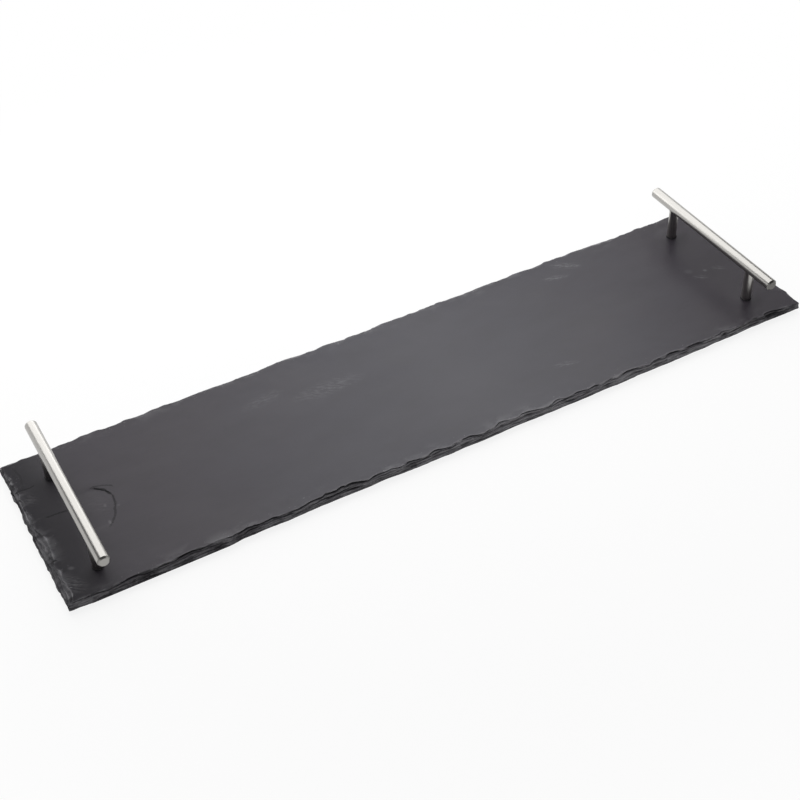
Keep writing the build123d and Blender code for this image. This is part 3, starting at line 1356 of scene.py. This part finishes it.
    def _under_height(self, x: np.ndarray, y: np.ndarray) -> np.ndarray:
        """The underside, a little riven between the feet and the screws.

        Args:
            x: Points' x.
            y: Points' y.

        Returns:
            Their heights.
        """
        long, wide = self.under_run
        lift = self.swell * (1 + self.grain.layered(x / long + 90, y / wide + 13))
        free = self._free(x, y, [*self.posts, *self.feet()], (1.6 * self.seat, 3.5 * self.seat))
        edge = np.minimum(self.high.x - np.abs(x), self.high.y - np.abs(y))
        return self.low.z + lift * free * ramp(edge, 0.3 * self.rim, self.rim)

    def feet(self) -> list[Vector]:
        """The middles of the feet."""
        boxes = [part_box(f"{end.value}_{row.value}_foot") for end in End for row in Row]
        return [(low + high) / 2 for low, high in boxes]

    def _middle(
        self, ring: np.ndarray, rail: int, starts: Sequence[int], radius: float, fine: bool, total: int
    ) -> tuple[np.ndarray, list[tuple[int, ...]]]:
        """Fill the inner rectangle of a face, round its holes.

        Args:
            ring: The rectangle's points in plan.
            rail: The first point of the rectangle.
            starts: The first point of each hole's rim.
            radius: The holes' radius.
            fine: True to add the finer points of the crescent scar.
            total: The number of points so far.

        Returns:
            New points in plan and the triangles.
        """
        low, high = ring.min(axis=0), ring.max(axis=0)
        gap = self.grid * self.fill_gap
        xs = np.arange(low[0] + gap, high[0] - gap, self.grid)
        ys = np.arange(low[1] + gap, high[1] - gap, self.grid)
        fill = np.stack(np.meshgrid(xs, ys), axis=-1).reshape(-1, 2)
        rng = np.random.default_rng(self.seed + 1)
        fill = fill + rng.uniform(-self.fill_stray, self.fill_stray, fill.shape) * self.grid
        if fine:
            fill = self._refined(fill)
        for post in self.posts:
            away = np.hypot(fill[:, 0] - post.x, fill[:, 1] - post.y)
            fill = fill[away > radius + self.post_gap * self.grid]
        known = [ring]
        names = list(range(rail, rail + len(ring)))
        edges = []
        size = self.hole_segments
        for start, post in zip(starts, self.posts):
            base = len(names)
            known.append(self._circle(radius) + (post.x, post.y))
            names += list(range(start, start + size))
            edges += [(base + k, base + (k + 1) % size) for k in range(size)]
        names += list(range(total, total + len(fill)))
        plan = np.concatenate([*known, fill])
        result = delaunay_2d_cdt([Vector(p) for p in plan], edges, [], 0, 1e-7)
        origin = [names[kept[0]] for kept in result[3]]
        rims = [range(start, start + size) for start in starts]
        triangles = []
        for face in result[2]:
            corners = tuple(origin[k] for k in face)
            bored = any(all(corner in rim for corner in corners) for rim in rims)
            first, second, third = (result[0][k] for k in face)
            longest = max((second - first).length, (third - second).length, (first - third).length)
            flat = abs((second - first).cross(third - first)) < self.sliver * longest ** 2
            if not bored and not flat:
                triangles.append(corners)
        return fill, triangles

    def _refined(self, fill: np.ndarray) -> np.ndarray:
        """Add finer points round the crescent scar.

        Args:
            fill: The plain points.

        Returns:
            The points with the finer ones.
        """
        scar = self.scar
        rim = scar.rim_points(self.scar_grid / 2, self.scar_crisp)
        ys = np.arange(scar.middle_y - scar.front_span, scar.middle_y + scar.back_span, self.scar_grid)
        columns = []
        for y in ys:
            xs = np.arange(scar.rim(y) - scar.run, scar.rim(y) + self.scar_margin, self.scar_grid)
            columns.append(np.column_stack([xs, np.full(len(xs), y)]))
        extra = np.concatenate(columns)
        extra = extra[extra[:, 0] > self.inner[:, 0].min() + 0.5 * self.scar_grid]
        extra = extra[np.abs(scar.rim(extra[:, 1]) - extra[:, 0]) > 0.6 * self.scar_grid]
        off = np.abs(fill[:, 0] - scar.rim(fill[:, 1]) + scar.run / 2)
        outside = (scar.away(fill[:, 1]) > 1) | (off > scar.run / 2 + self.scar_margin)
        return np.concatenate([fill[outside], extra, rim])


@dataclass
class BarHandle:
    """A round bar on two posts, each with a soft gasket at its foot."""

    end: End
    slot: str = "handle_steel"
    gasket_slot: str = "gasket_rubber"
    segments: int = 96
    chamfer: float = 1.3 * MM
    chamfer_ease: float = 0.15 * MM
    ease_out: float = 0.6
    ease_in: float = 0.35
    groove_pitch: float = 0.22 * MM
    groove_depth: float = 0.006 * MM
    centre_dimple: float = 0.35 * MM
    dimple_depth: float = 0.25 * MM
    tapped_radius: float = 2.05 * MM
    tap_depth: float = 6.0 * MM
    tap_core: float = 0.2
    tap_segments: int = 32
    post_tap: float = 9.6 * MM
    drill_tip: float = 0.4 * MM
    drill_rim: float = 0.7 * MM
    stud_tap: float = 7.0 * MM
    post_chamfer: float = 0.3 * MM
    saddle_clearance: float = 0.05 * MM
    saddle_ease: float = 0.12 * MM
    gasket_clearance: float = 0.15 * MM
    gasket_segments: int = 64
    gasket_crease: float = 60.0
    gasket_bulge: float = 0.12 * MM
    gasket_round: float = 0.3
    crease: float = 28.0
    # How much painted dark reflection the chamfers and the end faces get, and how far in from the end the
    # face reaches.
    chamfer_shade: float = 0.8
    face_reach: float = 0.35 * MM
    face_shade: float = 0.3

    def name(self, piece: str, row: Optional[Row] = None) -> str:
        """A node's name at this end, and in a row where it has one."""
        return "_".join(part for part in (self.end.value, row and row.value, piece) if part)

    def post_place(self, row: Row) -> Vector:
        """The middle of a post's foot on the slate."""
        low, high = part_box(self.name("post_gasket", row))
        return Vector(((low.x + high.x) / 2, (low.y + high.y) / 2, low.z))

    def build(
        self, brushed: bpy.types.Material, lathed: bpy.types.Material, soft: bpy.types.Material
    ) -> None:
        """Make the bar, posts and gaskets.

        Args:
            brushed: The bar's finish.
            lathed: The posts' finish.
            soft: The gaskets' finish.
        """
        self._bar(brushed)
        for row in Row:
            self._post(row, lathed)
            self._gasket(row, soft)

    def _bar(self, finish: bpy.types.Material) -> None:
        """Turn the bar: faced ends with fine grooves, eased chamfers, tapped from below.

        Args:
            finish: The bar's finish.
        """
        node = self.name("handle_bar")
        low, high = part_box(node)
        middle = (low + high) / 2
        radius = (high.z - low.z) / 2
        half = (high.y - low.y) / 2
        face = radius - self.chamfer
        grooves = int(face / self.groove_pitch)
        end = []
        for k in range(1, grooves):
            reach = face * k / grooves
            dip = self.groove_depth * (k % 2)
            dip += self.dimple_depth * max(0.0, 1 - reach / self.centre_dimple)
            end.append((reach, half - dip))
        ease = self.chamfer_ease
        near, far = ease * self.ease_in, ease * self.ease_out
        end += [(face - ease, half), (face + far, half - near)]
        shoulder = half - self.chamfer
        end += [(radius - near, shoulder + far), (radius, shoulder - ease)]
        rows = [(reach, -along) for reach, along in end] + [(reach, along) for reach, along in reversed(end)]
        shape = turned(rows, self.segments).laid_along_y().moved(middle)
        piece = finished_piece(self.name("bar_brushed"), shape, finish, node, self.crease)
        holes = []
        for row in Row:
            bore = [(self.tapped_radius, low.z + depth) for depth in (-self.tap_depth, self.tap_depth)]
            holes.append(turned(bore, self.tap_segments).over(self.name("post_gasket", row)))
        drill(piece, holes, self.crease)
        # Mark the end faces and chamfers for the finish's painted dark reflection.
        along = np.abs(points_of(piece)[:, 1] - middle.y)
        shade = np.where(along > half - self.face_reach, self.face_shade, self.chamfer_shade)
        mark(piece, "turned", np.where(along > half - self.chamfer - 0.5 * ease, shade, 0.0))

    def _post(self, row: Row, finish: bpy.types.Material) -> None:
        """Turn a post, coped to the bar above and tapped at both ends.

        Args:
            row: The row that the post is in.
            finish: The post's finish.
        """
        node = self.name("post", row)
        low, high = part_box(node)
        bar_low, bar_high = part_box(self.name("handle_bar"))
        axis = (bar_low.z + bar_high.z) / 2
        bar = (bar_high.z - bar_low.z) / 2 + self.saddle_clearance
        radius = (high.x - low.x) / 2
        tap = self.tapped_radius
        angles = turns(self.segments)

        def saddle(reach: float) -> np.ndarray:
            """Heights of the coped top at a radius."""
            return axis - np.sqrt(np.maximum(bar ** 2 - (reach * np.cos(angles)) ** 2, 0))

        floor = low.z + self.post_tap
        edge, ease = self.post_chamfer, self.saddle_ease
        rows = [(self.tap_core * tap, floor - self.drill_tip), (tap, floor - self.drill_rim)]
        rows += [(tap, low.z + edge), (tap + edge, low.z), (radius - edge, low.z), (radius, low.z + edge)]
        rows += [(radius, saddle(radius) - ease), (radius - ease, saddle(radius - ease))]
        roof = bar_low.z - self.stud_tap
        rows += [(tap, saddle(tap)), (tap, roof), (self.tap_core * tap, roof)]
        shape = turned(rows, self.segments).over(self.name("post_gasket", row))
        finished_piece(self.name("post_lathed", row), shape, finish, node, self.crease)

    def _gasket(self, row: Row, finish: bpy.types.Material) -> None:
        """Mould a gasket that bulges a little under its post.

        Args:
            row: The row that the gasket is in.
            finish: The gasket's finish.
        """
        node = self.name("post_gasket", row)
        low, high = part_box(node)
        radius = (high.x - low.x) / 2
        hole = self.tapped_radius + self.gasket_clearance
        bulge = self.gasket_bulge
        shoulder = radius - self.gasket_round * bulge
        rows = [(hole, low.z), (radius - bulge, low.z), (shoulder, low.z + bulge)]
        rows += [(radius, (low.z + high.z) / 2), (shoulder, high.z - bulge)]
        rows += [(radius - bulge, high.z), (hole, high.z)]
        shape = turned(rows, self.gasket_segments, hollow=True).over(node)
        name = self.name("gasket_moulded", row)
        finished_piece(name, shape, finish, node, self.gasket_crease)


@dataclass
class Fastening:
    """What holds one post: a stud in the bar, and a screw and washer under the slate."""

    end: End
    row: Row
    finish: bpy.types.Material
    slot: str = "fastener_steel"
    segments: int = 48
    pitch: float = 0.7 * MM
    thread_depth: float = 0.38 * MM
    thread_slope: float = 1.25
    thread_crest: float = 0.12
    rows_per_turn: int = 6
    head_ease: float = 0.8 * MM
    head_edge: float = 0.1 * MM
    crown: float = 0.175 * MM
    face_rows: int = 26
    rim_rows: int = 6
    tip_length: float = 0.4 * MM
    tip_inset: float = 0.3 * MM
    slot_width: float = 1.0 * MM
    slot_length: float = 4.4 * MM
    slot_depth: float = 1.3 * MM
    slot_wall: float = 0.12 * MM
    slot_slope: float = 0.9 * MM
    socket: float = 2.0 * MM
    socket_depth: float = 1.8 * MM
    socket_core: float = 0.2
    washer_ease: float = 0.15 * MM
    washer_burr: float = 0.04 * MM
    washer_segments: int = 64
    washer_gap: float = 0.2 * MM

    def name(self, piece: str) -> str:
        """The name of one of its nodes or pieces."""
        return f"{self.end.value}_{self.row.value}_{piece}"

    def build(self) -> None:
        """Make the stud, screw and washer."""
        self._stud()
        self._screw()
        self._washer()

    def _thread(self, radius: float, bottom: float, top: float) -> list[tuple[Reach, Reach]]:
        """Rows of a screw thread.

        Args:
            radius: Its outer radius.
            bottom: Where it starts.
            top: Where it ends.

        Returns:
            Radius and height of each row.
        """
        count = int((top - bottom) / self.pitch * self.rows_per_turn)
        angles = turns(self.segments)
        rows = []
        for k in range(count + 1):
            height = bottom + (top - bottom) * k / count
            phase = (height / self.pitch - angles / (2 * math.pi)) % 1
            cut = np.clip(np.abs(2 * phase - 1) * self.thread_slope - self.thread_crest, 0, 1)
            fade = min(1.0, (height - bottom) / self.pitch, (top - height) / self.pitch)
            rows.append((radius - self.thread_depth * (cut * fade + (1 - fade)), height))
        return rows

    def _stud(self) -> None:
        """A headless stud with a hexagon socket in its lower end."""
        node = self.name("post_stud")
        low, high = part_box(node)
        radius = (high.x - low.x) / 2
        angles = turns(self.segments)
        flats = self.socket / 2 / np.cos((angles + math.pi / 6) % (math.pi / 3) - math.pi / 6)
        floor = low.z + self.socket_depth
        rows = [(flats * self.socket_core, floor), (flats, floor), (flats, low.z)]
        rows += self._thread(radius, low.z, high.z)
        shape = turned(rows, self.segments).over(node)
        finished_piece(self.name("stud_threaded"), shape, self.finish, node)

    def _screw(self) -> None:
        """A pan-head machine screw with a cross recess."""
        node = self.name("handle_screw")
        low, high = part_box(node)
        washer_low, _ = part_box(self.name("screw_washer"))
        shank_low, shank_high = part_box(self.name("post_stud"))
        head = (high.x - low.x) / 2
        radius = (shank_high.x - shank_low.x) / 2
        rows: list[tuple[Reach, Reach]] = []
        ease, under = self.head_ease, washer_low.z
        face = head - ease
        for k in range(1, self.face_rows + 1):
            reach = face * k / self.face_rows
            crown = self.crown * (reach / face) ** 2
            rows.append((reach, low.z + crown + self._recess(reach)))
        for k in range(1, self.rim_rows + 1):
            angle = math.pi / 2 * k / self.rim_rows
            height = low.z + self.crown + ease * (1 - math.cos(angle))
            rows.append((face + ease * math.sin(angle), height))
        rows += [(head, under - self.head_edge), (head - self.head_edge, under)]
        rows += self._thread(radius, under, high.z - self.tip_length)
        rows.append((radius - self.thread_depth - self.tip_inset, high.z))
        shape = turned(rows, self.segments).over(node)
        finished_piece(self.name("screw_threaded"), shape, self.finish, node)

    def _recess(self, reach: float) -> np.ndarray:
        """How deep the cross recess is round a circle of the head.

        Args:
            reach: The circle's radius.

        Returns:
            Depths, one per segment.
        """
        angles = turns(self.segments)
        x, y = np.abs(reach * np.cos(angles)), np.abs(reach * np.sin(angles))
        deep = np.zeros(self.segments)
        for across, along in ((x, y), (y, x)):
            wall = np.clip((self.slot_width / 2 - across) / self.slot_wall, 0, 1)
            floor = np.clip((self.slot_length / 2 - along) / self.slot_slope, 0, 1)
            deep = np.maximum(deep, self.slot_depth * np.minimum(wall, floor))
        return deep

    def _washer(self) -> None:
        """A stamped washer with one rounded edge."""
        node = self.name("screw_washer")
        low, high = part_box(node)
        stud_low, stud_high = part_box(self.name("post_stud"))
        hole = (stud_high.x - stud_low.x) / 2 + self.washer_gap
        radius = (high.x - low.x) / 2
        rows = [(hole, high.z), (hole, low.z + self.washer_ease), (hole + self.washer_ease, low.z)]
        rows += rounded_rim(radius, low.z, self.washer_ease)
        rows += [(radius, high.z - self.washer_burr), (radius - self.washer_burr, high.z)]
        shape = turned(rows, self.washer_segments, hollow=True).over(node)
        finished_piece(self.name("washer_plated"), shape, self.finish, node)


@dataclass
class Foot:
    """A soft round pad under the slate, dished a little where it meets the table."""

    end: End
    row: Row
    finish: bpy.types.Material
    slot: str = "foot_pad"
    segments: int = 72
    ease: float = 0.8 * MM
    draft: float = 0.25 * MM
    dish: float = 0.35 * MM
    dish_share: float = 0.55
    dish_rows: int = 8
    top_edge: float = 0.15 * MM
    top_core: float = 0.2
    crease: float = 50.0

    def build(self) -> None:
        """Make the foot."""
        node = f"{self.end.value}_{self.row.value}_foot"
        low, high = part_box(node)
        radius = (high.x - low.x) / 2
        rows = []
        for k in range(1, self.dish_rows + 1):
            share = k / self.dish_rows
            rows.append((radius * self.dish_share * share, low.z + self.dish * (1 - share ** 2)))
        rows += rounded_rim(radius - self.draft, low.z, self.ease)
        edge = self.top_edge
        rows += [(radius, high.z - edge), (radius - edge, high.z), (radius * self.top_core, high.z)]
        shape = turned(rows, self.segments).over(node)
        name = f"{self.end.value}_{self.row.value}_foot_moulded"
        finished_piece(name, shape, self.finish, node, self.crease)


@dataclass
class Studio:
    """White table and backdrop, a soft box behind the board, two fills, and the camera."""

    azimuth: float = -27.15
    elevation: float = 42.2
    roll: float = -2.62
    distance: float = 1067 * MM
    target: tuple[float, float, float] = (-20.25 * MM, -8.5 * MM, 5.0 * MM)
    lens: float = 65.25
    sensor: float = 36.0
    table_radius: float = 7.0
    backdrop_height: float = 2.6
    segments: int = 64
    white_near: float = 0.84
    white_from: float = 0.25
    white_to: float = 0.60
    ambient: float = 0.15
    table_rings: int = 12
    watts_per_glow: float = 4.0

    def build(self) -> None:
        """Set the stage, the light and the camera."""
        self._world()
        self._table()
        self._lamps()
        self._camera()
        bpy.context.scene.view_settings.view_transform = "Standard"

    def _world(self) -> None:
        """A dim even room."""
        world = bpy.data.worlds.new("room")
        bpy.context.scene.world = world
        world.use_nodes = True
        sheet = Sheet(world.node_tree)
        shine = sheet.node("ShaderNodeBackground", None, {"Color": (1, 1, 1, 1), "Strength": self.ambient})
        sheet.node("ShaderNodeOutputWorld", None, {"Surface": shine.outputs[0]})

    def _table(self) -> None:
        """A wide white table that keeps the object's shadow, and a low round backdrop."""
        count = self.segments
        angles = turns(count)
        rows = [(self.table_radius * k / self.table_rings, 0.0) for k in range(1, self.table_rings + 1)]
        rows.append((self.table_radius, self.backdrop_height))
        points = [(0.0, 0.0, 0.0)]
        faces: list[tuple[int, ...]] = [(0, 1 + k, 1 + (k + 1) % count) for k in range(count)]
        for index, (radius, height) in enumerate(rows):
            points += [(radius * math.cos(a), radius * math.sin(a), height) for a in angles]
            if index:
                faces += band(1 + (index - 1) * count, 1 + index * count, count)
        mesh = bpy.data.meshes.new("table_and_backdrop")
        mesh.from_pydata(points, [], faces)
        table = bpy.data.objects.new("table_and_backdrop", mesh)
        bpy.context.scene.collection.objects.link(table)
        mesh.materials.append(self._white())

    def _white(self) -> bpy.types.Material:
        """White that takes a shadow near the object and is plain further off.

        Returns:
            The material.
        """
        material, sheet = new_material("white_table")
        far = sheet.length(sheet.place()).step(self.white_from, self.white_to)
        white = self.white_near + far * (1.0 - self.white_near)
        path = sheet.node("ShaderNodeLightPath")
        seen = Field(sheet, path.outputs["Is Camera Ray"])
        for kind in ("Is Glossy Ray", "Is Transmission Ray"):
            seen = seen.highest(Field(sheet, path.outputs[kind]))
        lit = sheet.node("ShaderNodeBsdfDiffuse", None, {"Color": (0.88, 0.88, 0.88, 1)})
        plain = sheet.node("ShaderNodeEmission", None, {"Color": (1, 1, 1, 1), "Strength": 1.0})
        both = sheet.node(
            "ShaderNodeMixShader", None, {0: seen * white, 1: lit.outputs[0], 2: plain.outputs[0]}
        )
        sheet.surface(both)
        return material

    def _lamps(self) -> None:
        """Hang the lamps: a tall soft box behind the board, whose sheen lies on it, and two fills."""
        centre = (0.0, 0.0, 0.0)
        front_of_box = (0.115, 0.0, -0.01)
        self._lamp("back_box", size=(1.49, 1.2), place=(0.115, 0.6, 0.59), aim=front_of_box, glow=1.55)
        fills = [
            self._lamp("top_fill", size=(1.6, 1.6), place=(0.25, 0.35, 1.5), aim=centre, glow=0.75),
            self._lamp("front_fill", size=(1.8, 1.0), place=(-0.3, -1.5, 1.5), aim=centre, glow=1.0),
        ]
        for fill in fills:
            fill.visible_glossy = False

    def _lamp(
        self, name: str, size: tuple[float, float], place: Sequence[float], aim: Sequence[float], glow: float
    ) -> bpy.types.Object:
        """Hang an area lamp that the camera doesn't see.

        Args:
            name: Its name.
            size: Its width and height.
            place: Where it hangs.
            aim: What it faces.
            glow: How bright its face is, where 1 is white.

        Returns:
            The lamp.
        """
        data = bpy.data.lights.new(name, "AREA")
        data.shape = "RECTANGLE"
        data.size, data.size_y = size
        data.energy = self.watts_per_glow * glow * size[0] * size[1]
        lamp = bpy.data.objects.new(name, data)
        bpy.context.scene.collection.objects.link(lamp)
        lamp.location = place
        lamp.rotation_mode = "QUATERNION"
        lamp.rotation_quaternion = (Vector(aim) - Vector(place)).to_track_quat("-Z", "Y")
        lamp.visible_camera = False
        return lamp

    def _camera(self) -> None:
        """The camera at the photograph's viewing angle."""
        azimuth, elevation, roll = (math.radians(a) for a in (self.azimuth, self.elevation, self.roll))
        level = math.cos(elevation)
        back = Vector((math.sin(azimuth) * level, -math.cos(azimuth) * level, math.sin(elevation)))
        right = (-back).cross(Vector((0, 0, 1))).normalized()
        up = right.cross(-back)
        leaned_right = math.cos(roll) * right + math.sin(roll) * up
        leaned_up = math.cos(roll) * up - math.sin(roll) * right
        data = bpy.data.cameras.new("camera")
        data.lens = self.lens
        data.sensor_width = self.sensor
        data.clip_end = 100.0
        camera = bpy.data.objects.new("camera", data)
        bpy.context.scene.collection.objects.link(camera)
        place = Vector(self.target) + back * self.distance
        turn = Matrix((leaned_right, leaned_up, back)).transposed().to_4x4()
        camera.matrix_world = Matrix.Translation(place) @ turn
        bpy.context.scene.camera = camera


def main() -> None:
    """Build the board, its handles, fastenings and feet, and set the stage."""
    logging.basicConfig(level=logging.INFO, format="%(name)s: %(message)s")
    # The right bar's end faces get more painted dark reflection than the left's.
    handles = [BarHandle(End.LEFT), BarHandle(End.RIGHT, face_shade=0.95)]
    posts = [handle.post_place(row) for handle in handles for row in Row]
    SlateBoard().build(posts, SlateFinish().material())
    brushed = SteelFinish("brushed_steel", Lay.ALONG_BAR).material()
    lathed = SteelFinish("lathed_steel", Lay.ROUND_POST).material()
    plated = SteelFinish(
        "plated_steel", Lay.PLATED, (0.56, 0.57, 0.58, 1.0), (0.42, 0.43, 0.44, 1.0), 0.32, 0.16
    ).material()
    gasket_black, gasket_worn = (0.016, 0.016, 0.017, 1.0), (0.030, 0.030, 0.031, 1.0)
    soft = RubberFinish("gasket_rubber", gasket_black, gasket_worn, 1600.0).material()
    pad_black, pad_worn = (0.020, 0.020, 0.021, 1.0), (0.042, 0.041, 0.041, 1.0)
    pad = RubberFinish("foot_rubber", pad_black, pad_worn, 900.0).material()
    for handle in handles:
        handle.build(brushed, lathed, soft)
    for end in End:
        for row in Row:
            Fastening(end, row, plated).build()
            Foot(end, row, pad).build()
    Studio().build()


if __name__ == "__main__":
    main()
